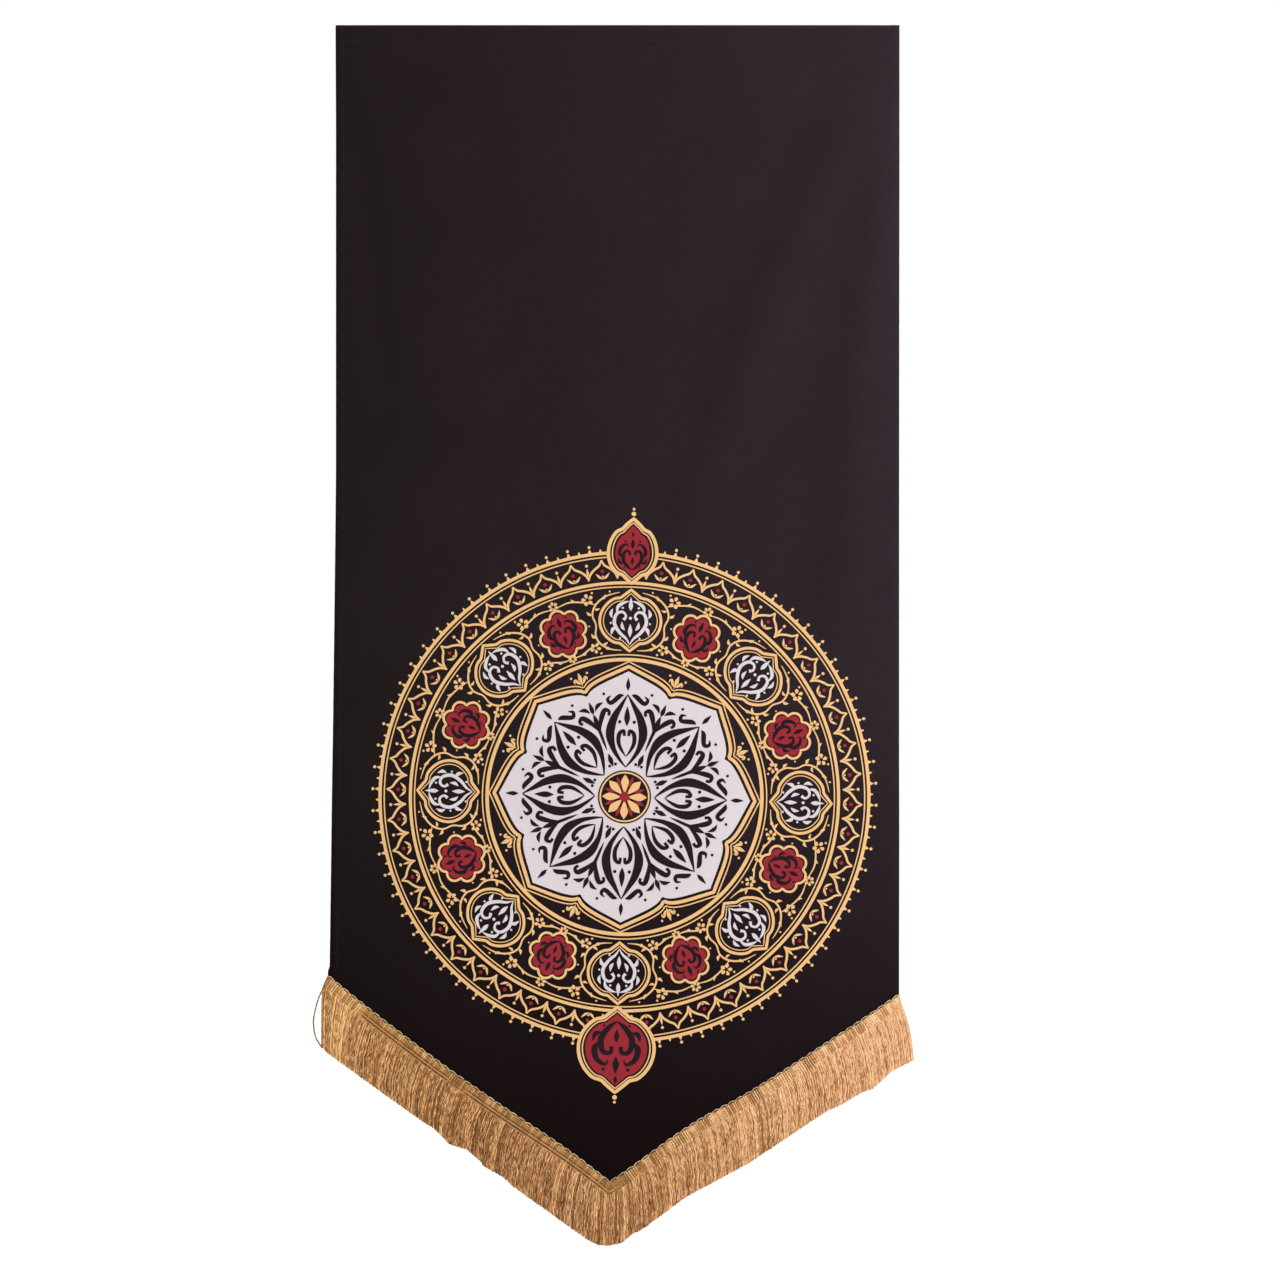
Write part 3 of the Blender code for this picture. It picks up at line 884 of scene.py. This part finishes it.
def buildHeading():
    stations = 2 * trim["ribs"] * trim["ribSteps"]
    least, level = trim["ribLevels"]
    bm = bmesh.new()
    tone = bm.verts.layers.float.new("tone")
    bmesh.ops.create_grid(bm, x_segments=stations, y_segments=trim["acrossSteps"], size=1)
    dice = random.Random(11)
    ribTones = [dice.uniform(0, trim["ribTones"]) for _ in range(2 * trim["ribs"] + 8)]
    for vert in bm.verts:
        share = vert.co.x + 1
        across = mix(trim["starts"], 1, (1 - vert.co.y) / 2)
        phase = ribPhase(share, across)
        rib = (0.5 - 0.5 * cos(tau * phase)) ** trim["ribPower"]
        edge = 1 - abs(2 * across - 1) ** trim["edgePower"]
        groove = sum(exp(-((across - at) / trim["grooveWidth"]) ** 2) for at in trim["grooves"])
        groove *= along(cordShow, share)
        swell = sum(much * sin(often * share) for often, much in trim["ribWaves"])
        ribbed = along(ribShow, share) * max(level + swell, least)
        out = trim["thickness"] * mix(trim["edgeThickness"], 1, edge) + trim["crown"] * edge
        out += trim["ribRelief"] * rib * ribbed - trim["grooveDepth"] * groove
        # Painted shade in the valleys between ribs and in the grooves, and painted light where the ribs stand
        # out.
        dark = trim["paintedValleyShade"] * (1 - rib) * ribbed + trim["paintedGrooveShade"] * min(groove, 1)
        vert[tone] = ribTones[int(phase)] + along(paintedLimbLight, share) + trim["paintedRibLight"] * ribbed - dark
        vert.co = onTrim(share, across, out)
    turnToFront(bm)
    material = rayon("wovenRayonGimp", "#6E4A18", "#B38748", "#EACAA2", 0.5, (700, 700, 700), 0.3, 0.14)
    return sheetPiece("trim_heading", bm, material, trim["wall"])


def twistedCord(across, rise, settings, ply):
    # One ply of a two-ply cord laid along the heading; across and rise follow the share.
    turns = limbLength / settings["pitch"]
    steps = round(2 * turns * settings["stepsATurn"])
    line = []
    for step in range(steps + 1):
        share = 2 * step / steps
        angle = tau * (share * turns + ply / 2)
        sideways = settings["ply"] * cos(angle) / trim["width"]
        line.append(onTrim(share, across(share) + sideways, rise(share) + settings["ply"] * sin(angle)))
    return line


def buildCords():
    def rise(share):
        return mix(cords["sunk"], cords["rise"], along(cordShow, share))
    lines = [
        twistedCord(lambda share, at=at: at, rise, cords, ply)
        for at in cords["across"] for ply in (0, 1)
    ]
    material = rayon("twistedRayonCord", "#8A5E30", "#C39660", "#EBCB9C", 0.42, (700, 700, 700), 0.2, 0.12)
    return yarnPiece("trim_cords", lines, cords["ply"] * cords["plump"], 6, cords["tones"], material)


def buildPicot():
    def scallop(share):
        wave = abs(sin(pi * share * picot["scallops"])) ** picot["roundness"]
        return (picot["inside"] - picot["reach"] * wave) / trim["width"]
    lines = [twistedCord(scallop, lambda share: picot["rise"], picot, ply) for ply in (0, 1)]
    material = rayon("creamPicotCord", "#6A5836", "#BFAE88", "#E8E0C8", 0.5, (500, 500, 500), 0.34, 0.16)
    return yarnPiece("trim_picot", lines, picot["ply"] * picot["plump"], 6, picot["tones"], material)


skirt = {
    "locks": 150,  # on each limb, about 2.4 mm apart
    "yarnsALock": 8,
    "steps": 12,
    "radius": 0.00052,
    "tip": 0.9,  # a yarn's end, as a share of its radius
    "rootAcross": 0.8,
    "slope": 0.81,  # a lock's width sideways, as a share of its width along the trim
    "inset": 0.002,  # no root lies nearer to the trim's ends, by share
    "strayRoots": 1.1,  # how far a yarn's root may lie from its lock's middle, in locks
    "clump": 0.15,
    "clumpPace": 1.7,  # above 1, so that the yarns draw together well before their ends
    "sway": 0.0009,
    "swayAtRoot": 0.3,
    "beats": 2.2,  # sways in a yarn's length, how they drift along the trim, and a lock's own phase
    "beatDrift": (31, 0.5),
    "phaseDrift": (23, 0.7),
    "phases": (0, 0.2),
    "waver": 0.00048,  # each yarn's own crimp sideways
    "weave": 0.0006,  # and in and out, so that it shows and hides
    "waves": (3, 5.2),
    "weavePace": 1.3,
    "lengthSpread": 0.0004,
    "rise": 0.0012,  # how far off the cloth the yarns hang, and how far they belly out below the heading
    "belly": 0.0008,
    "bellyPace": 1.3,
    "lockRises": (-0.0004, 0.0008),
    "depth": 0.0012,
    "stepCurve": 1.35,  # steps lie closer at the root, where a yarn bends most
    "calmEnds": 0.07,  # the trim's cut ends hang straight, by share
    "rootTone": 0.035,  # the skirt is a little lighter under the heading than below
    "toneFall": 0.085,
    "lockTones": (0.17, 0.33),
    "yarnTones": (-1, 1.05),
    "backYarns": 780,  # straight ones behind, so that nothing shows through
    "backJitter": 0.15,
    "backDeep": -0.0012,
    "backShort": -0.0006,
    # Painted shade: the yarns behind get darker tones than the front ones.
    "backShadedTones": (-0.1, 0.25),
    "seeds": (21, 22),
}

# The skirt's cut edge, as x and z.
cutEdge = [
    (-0.369, -1.2672), (-0.36, -1.2764), (-0.242, -1.3607), (-0.226, -1.3705), (-0.2085, -1.389),
    (-0.1875, -1.3952), (-0.1715, -1.4085), (-0.1665, -1.416), (-0.1425, -1.4292), (-0.129, -1.4417),
    (-0.0397, -1.5059), (-0.0248, -1.5139), (-0.0112, -1.5149), (0.0074, -1.5106), (0.0186, -1.5001),
    (0.0285, -1.4962), (0.0856, -1.4538), (0.165, -1.4115), (0.1775, -1.4024), (0.2618, -1.3466),
    (0.2718, -1.3431), (0.304, -1.3241), (0.3164, -1.3208), (0.34, -1.299), (0.366, -1.2862),
]
# By the x of its root: how far a yarn's end leans to the right, and how soon, as a share of its length.
skirtLean = [
    (-0.367, -0.0022), (-0.345, -0.0085), (-0.315, -0.015), (-0.06, -0.015), (-0.012, -0.002),
    (0.04, 0.0085), (0.22, 0.0085), (0.29, 0.0145), (0.354, 0.0145),
]
skirtTurn = [(-0.367, 0.15), (-0.345, 0.45), (-0.06, 0.5), (0.04, 0.32), (0.24, 0.32), (0.3, 0.55)]


def drift(share, waves):
    often, much = waves
    return much * sin(often * share)


def yarnLine(share, length, sideways, deep, lock, waves):
    # One yarn from under the heading to the cut edge, drawn in towards its lock and swaying with it.
    # A lock has its phase, how far out its foot lies, and how much its yarns stray.
    phase, lockRise, amount = lock
    root = trimPlace(share, skirt["rootAcross"])
    foot = trimPlace(share, 1).x
    lean, turn = along(skirtLean, foot), along(skirtTurn, foot)
    calm = smoothShare(min(share, 2 - share) / skirt["calmEnds"])
    places = []
    for step in range(skirt["steps"] + 1):
        run = (step / skirt["steps"]) ** skirt["stepCurve"]
        gather = -skirt["clump"] * smoothShare(run * skirt["clumpPace"])
        beat = run * (skirt["beats"] + drift(share, skirt["beatDrift"]))
        beat += drift(share, skirt["phaseDrift"]) + phase
        sway = calm * skirt["sway"] * mix(skirt["swayAtRoot"], 1, run) * sin(tau * beat)
        crimp = tau * (run * waves[0] + waves[1])
        leant = lean * (1 - exp(-run / turn)) / (1 - exp(-1 / turn))
        waver = amount * calm * skirt["waver"] * min(3 * run, 1) * sin(crimp)
        belly = skirt["belly"] * sin(pi * min(run * skirt["bellyPace"], 1))
        rise = skirt["rise"] + belly + lockRise * run + deep
        rise += amount * skirt["weave"] * sin(skirt["weavePace"] * crimp)
        places.append((root.x + leant + sideways * gather + sway + waver, rise, run))
    foot = along(cutEdge, places[-1][0]) - length
    line = []
    for x, rise, run in places:
        z = mix(root.y, foot, run)
        line.append(Vector((x, drape(x, z) - trim["gap"] - max(rise, skirt["radius"]), z)))
    return line


def toneAlong(run):
    return skirt["rootTone"] - skirt["toneFall"] * min(2 * run ** skirt["stepCurve"], 1)


def buildSkirt(name, limb):
    dice = random.Random(skirt["seeds"][limb])
    lines, tones = [], []
    pitch = limbLength * skirt["slope"] / skirt["locks"]
    for index in range(skirt["locks"]):
        lock = (dice.uniform(*skirt["phases"]), dice.uniform(*skirt["lockRises"]), 1)
        lockTone = dice.uniform(*skirt["lockTones"])
        for _ in range(skirt["yarnsALock"]):
            offset = dice.uniform(-1, 1) * skirt["strayRoots"]
            share = limb + (index + 0.5 + offset) / skirt["locks"]
            share = min(max(share, skirt["inset"]), 2 - skirt["inset"])
            deep = dice.uniform(-0.5, 0.5) * skirt["depth"]
            waves = (dice.uniform(*skirt["waves"]), dice.random())
            length = dice.gauss(0, skirt["lengthSpread"])
            lines.append(yarnLine(share, length, offset * pitch, deep, lock, waves))
            tone = dice.uniform(*skirt["yarnTones"]) * along(toneSpread, share)
            tones.append(lockTone + along(paintedLimbLight, share) + tone)
    quiet = (sum(skirt["phases"]) / 2, 0, 0)
    jitter = skirt["backJitter"]
    for index in range(skirt["backYarns"]):
        share = limb + (index + 0.5 + dice.uniform(-jitter, jitter)) / skirt["backYarns"]
        length = dice.gauss(skirt["backShort"], skirt["lengthSpread"])
        lines.append(yarnLine(share, length, 0, skirt["backDeep"], quiet, (0, 0)))
        # The yarns behind are painted darker, a painted shade.
        tones.append(dice.uniform(*skirt["backShadedTones"]) + along(paintedLimbLight, share))
    return yarnPiece(name, lines, skirt["radius"], 4, tones, skirtYarn, skirt["tip"], toneAlong)


# One yarn pulled out of the left end: it bows away from the skirt and comes back at its foot.
looseThread = {
    "route": [
        (-0.364, -1.193), (-0.3703, -1.2056), (-0.3743, -1.2186), (-0.3772, -1.232), (-0.3775, -1.2413),
        (-0.3766, -1.25), (-0.3739, -1.2587), (-0.3703, -1.2648), (-0.367, -1.27),
    ],
    "steps": 12,
    "stepsATurn": 9,
    "ply": 0.00036,
    "radius": 0.0008,
    "rise": 0.002,
    "tones": (0, 0.22),
}


def buildLooseThread():
    route = smoothLine(looseThread["route"], looseThread["steps"])
    ply = looseThread["ply"]
    lines = []
    for start in (0, 0.5):
        line = []
        for step, (x, z) in enumerate(route):
            angle = tau * (step / looseThread["stepsATurn"] + start)
            x += ply * cos(angle)
            line.append(Vector((x, drape(x, z) - looseThread["rise"] - ply * sin(angle), z)))
        lines.append(line)
    # It is the heading's own yarn, which is duller and more olive than the skirt's.
    material = rayon("looseRayonYarn", "#66552C", "#9C8750", "#CBBB88", 0.45, (600, 600, 190), 0.29, 0.17)
    return yarnPiece("loose_thread", lines, looseThread["radius"], 6, looseThread["tones"], material)


skirtYarn = rayon("hangingRayonYarn", "#72461D", "#BB8951", "#F4D2A6", 0.45, (600, 600, 190), 0.29, 0.17)
trimPieces = [
    buildHeading(), buildCords(), buildPicot(), buildSkirt("skirt_left", 0), buildSkirt("skirt_right", 1),
    buildLooseThread(),
]
for part in trimPieces:
    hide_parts("fringe_trim")
print("trim made")


# Seams: lockstitch along the hems, and the trim's own stitching, which shows on the back

seams = {
    "pitch": 0.004,
    "stitch": 0.0031,
    "radius": 0.00017,
    "proud": 0.00013,  # how far a stitch's middle stands off the cloth, and how far its ends dip into it
    "dip": 0.00016,
    "sideIn": 0.009,
    "topIn": 0.0195,
    "topEnds": 0.004,
    "trimRows": (0.16, 0.4),
    "trimRadius": 0.000221,
    "trimTone": 0.45,
}


def stitchRow(place, length, depth, outward):
    # Short threads that dip into the cloth at both ends; depth is the surface, outward -1 front or 1 back.
    lines = []
    for index in range(int(length / seams["pitch"])):
        line = []
        for step in range(3):
            run = (index * seams["pitch"] + seams["stitch"] * step / 2) / length
            x, z = place(run)
            proud = seams["proud"] if step == 1 else -seams["dip"]
            line.append(Vector((x, drape(x, z) + depth + outward * proud, z)))
        lines.append(line)
    return lines


def sewingThread():
    # Spun polyester sewing thread in black: a dull twist that catches a little light at each stitch.
    material, tree, shader, place = newMaterial("spunPolyesterThread", {
        "Roughness": 0.55, "IOR": 1.5, "Specular IOR Level": 0.3,
    })
    twist = addNode(tree, "TexNoise", {"Vector": place, "Scale": 1400, "Detail": 3})
    colour = addNode(tree, "Mix", {"data_type": "RGBA", 0: twist, 6: "#171214", 7: "#322A2E"})
    bump = addNode(tree, "Bump", {"Strength": 0.4, "Distance": 0.0001, "Height": twist})
    setUp(shader, {"Base Color": colour, "Normal": bump})
    return material


def buildStitches():
    thick = panel["thickness"]
    left, right = footLeft.y, footRight.y
    ends = seams["topEnds"]
    rows = [
        (lambda run: (leftEdge(left * run) + seams["sideIn"], left * run), -left),
        (lambda run: (halfTop - seams["sideIn"], right * run), -right),
        (lambda run: (mix(ends - halfTop, halfTop - ends, run), -seams["topIn"]),
         panel["topWidth"] - 2 * ends),
    ]
    lines = []
    for place, length in rows:
        lines += stitchRow(place, length, 0, -1) + stitchRow(place, length, panel["hemLayers"] * thick, 1)
    mesh = sweep("hem_stitches", lines, seams["radius"], 4)
    hemRows = newPiece("hem_stitches", mesh, sewingThread())
    lines = []
    for across in seams["trimRows"]:
        lines += stitchRow(lambda run, at=across: trimPlace(2 * run, at)[:], 2 * limbLength, thick, 1)
    tones = [seams["trimTone"]] * len(lines)
    return [hemRows, yarnPiece("trim_stitches", lines, seams["trimRadius"], 4, tones, skirtYarn)]


stitches = buildStitches()
print("seams sewn")


def cutArea():
    # The panel as cut, with its side and top hems.
    left, tip, right = (point - Vector((0, panel["trimLap"])) for point in panel["foot"])
    body = (tip.x - left.x) * -(left.y + tip.y) / 2 + (right.x - tip.x) * -(tip.y + right.y) / 2
    body += (right.x - left.x) * sum(sagAt((step + 0.5) / 10) for step in range(20)) / 20
    body -= panel["sideHem"] * (left.y + right.y)
    return body + panel["topHem"] * (panel["topWidth"] + 2 * panel["sideHem"])


cutArea()


# Camera, light and floor

studio = {
    "eye": (0.0279, -3.751, -0.7633),
    "lens": 85,
    "softbox": {"place": (2.1, -1.6, 0.8), "target": (0, 0, -0.9), "size": 0.9, "power": 78},
    "overhead": {"strength": 3, "softness": 36},
    "glow": 0.26,
    "floorHeight": -1.95,
    "floorRadius": 9,
}


def addCamera():
    data = bpy.data.cameras.new("camera")
    data.lens = studio["lens"]
    data.sensor_width = 36
    camera = addObject("camera", data)
    camera.location = studio["eye"]
    camera.rotation_euler = (radians(90), 0, 0)
    bpy.context.scene.camera = camera


def addSoftbox(place, target, size, power):
    data = bpy.data.lights.new("key", "AREA")
    data.shape = "SQUARE"
    data.size = size
    data.energy = power
    lamp = addObject("key", data)
    lamp.location = place
    lamp.rotation_euler = (Vector(target) - Vector(place)).to_track_quat("-Z", "Y").to_euler()
    lamp.visible_camera = False


def addOverhead(strength, softness):
    # Even light from straight above, which whitens the floor all round and grazes the cloth.
    data = bpy.data.lights.new("overhead", "SUN")
    data.energy = strength
    data.angle = radians(softness)
    addObject("overhead", data)


def addWorld():
    # Plain white behind the object, and a dimmer even light from all round.
    world = bpy.data.worlds.new("studio")
    world.use_nodes = True
    tree = world.node_tree
    tree.nodes.clear()
    seen = addNode(tree, "LightPath", {}).outputs["Is Camera Ray"]
    ambient, white = (
        addNode(tree, "Background", {"Color": "#FFFFFF", "Strength": strength})
        for strength in (studio["glow"], 1)
    )
    both = addNode(tree, "MixShader", {0: seen, 1: ambient, 2: white})
    addNode(tree, "OutputWorld", {"Surface": both})
    bpy.context.scene.world = world


def addFloor():
    # Painted studio floor: pale and matt, well below the hanging point.
    bm = bmesh.new()
    level = Matrix.Translation((0, 0, studio["floorHeight"]))
    bmesh.ops.create_circle(bm, cap_ends=True, segments=128, radius=studio["floorRadius"], matrix=level)
    material, tree, shader, place = newMaterial("paintedStudioFloor", {
        "Roughness": 0.9, "Specular IOR Level": 0.2,
    })
    grain = addNode(tree, "TexNoise", {"Vector": place, "Scale": 40, "Detail": 4})
    colour = addNode(tree, "Mix", {"data_type": "RGBA", 0: grain, 6: "#F6F5F4", 7: "#FBFAF9"})
    setUp(shader, {"Base Color": colour})
    mesh = meshFromBmesh("floor", bm)
    mesh.materials.append(material)
    floor = addObject("floor", mesh)


addCamera()
addWorld()
addSoftbox(**studio["softbox"])
addOverhead(**studio["overhead"])
addFloor()
bpy.context.scene.view_settings.view_transform = "Standard"
print("camera, light and floor set")
